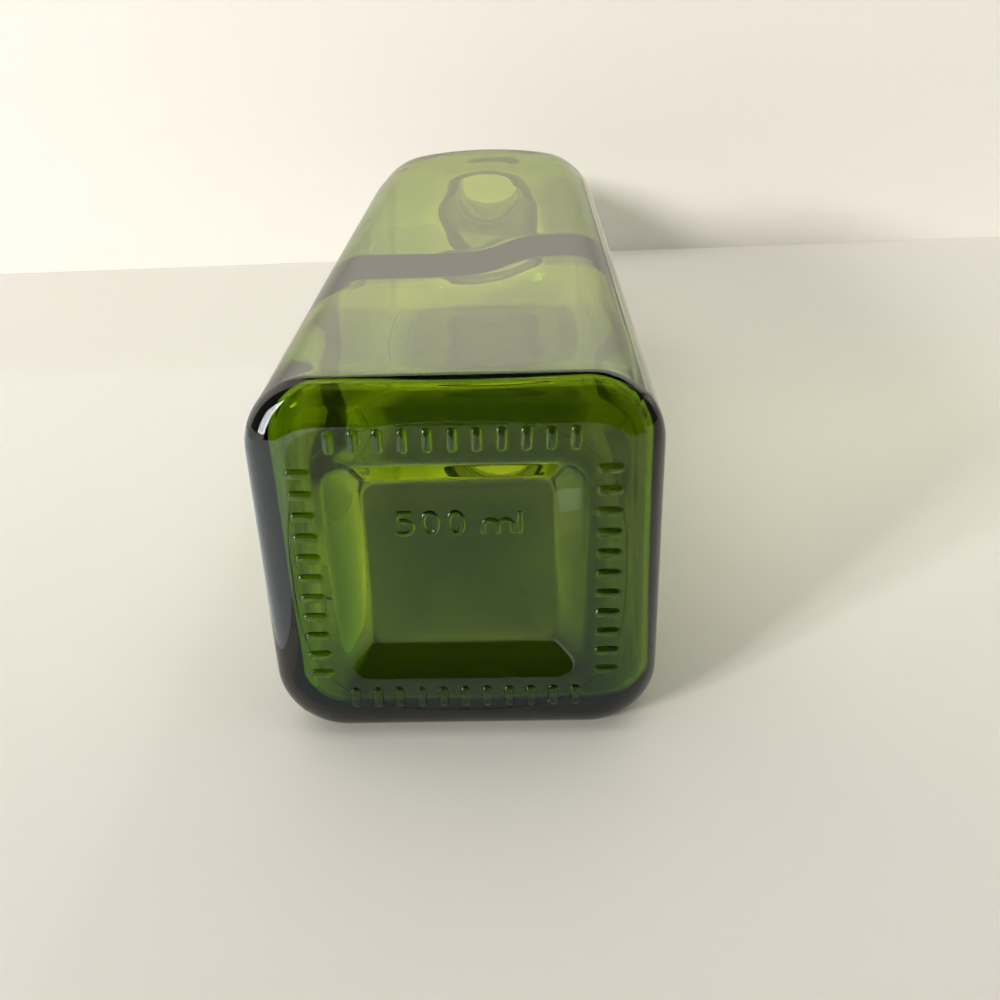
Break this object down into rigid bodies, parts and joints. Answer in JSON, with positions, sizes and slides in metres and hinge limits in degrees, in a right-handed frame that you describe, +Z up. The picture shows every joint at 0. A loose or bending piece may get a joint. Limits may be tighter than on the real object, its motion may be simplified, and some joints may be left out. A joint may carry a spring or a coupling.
{
  "type": "marasca bottle",
  "caption": "Empty square glass bottle for oil, lying on one side, with a domed shoulder, a screw neck and a sunk panel and knurls under its base.",
  "frame": {"origin": "on the ground, under the middle of the bottle's length and width as it lies on one side panel", "axes": "+Y along the bottle's axis from the base to the mouth, +Z up"},
  "size_m": [0.0584, 0.262, 0.0585],
  "materials": {
    "green_glass": "clear olive-green glass, smooth and glossy"
  },
  "bodies": {
    "root": {"bottle": "green_glass"}
  },
  "joints": []
}
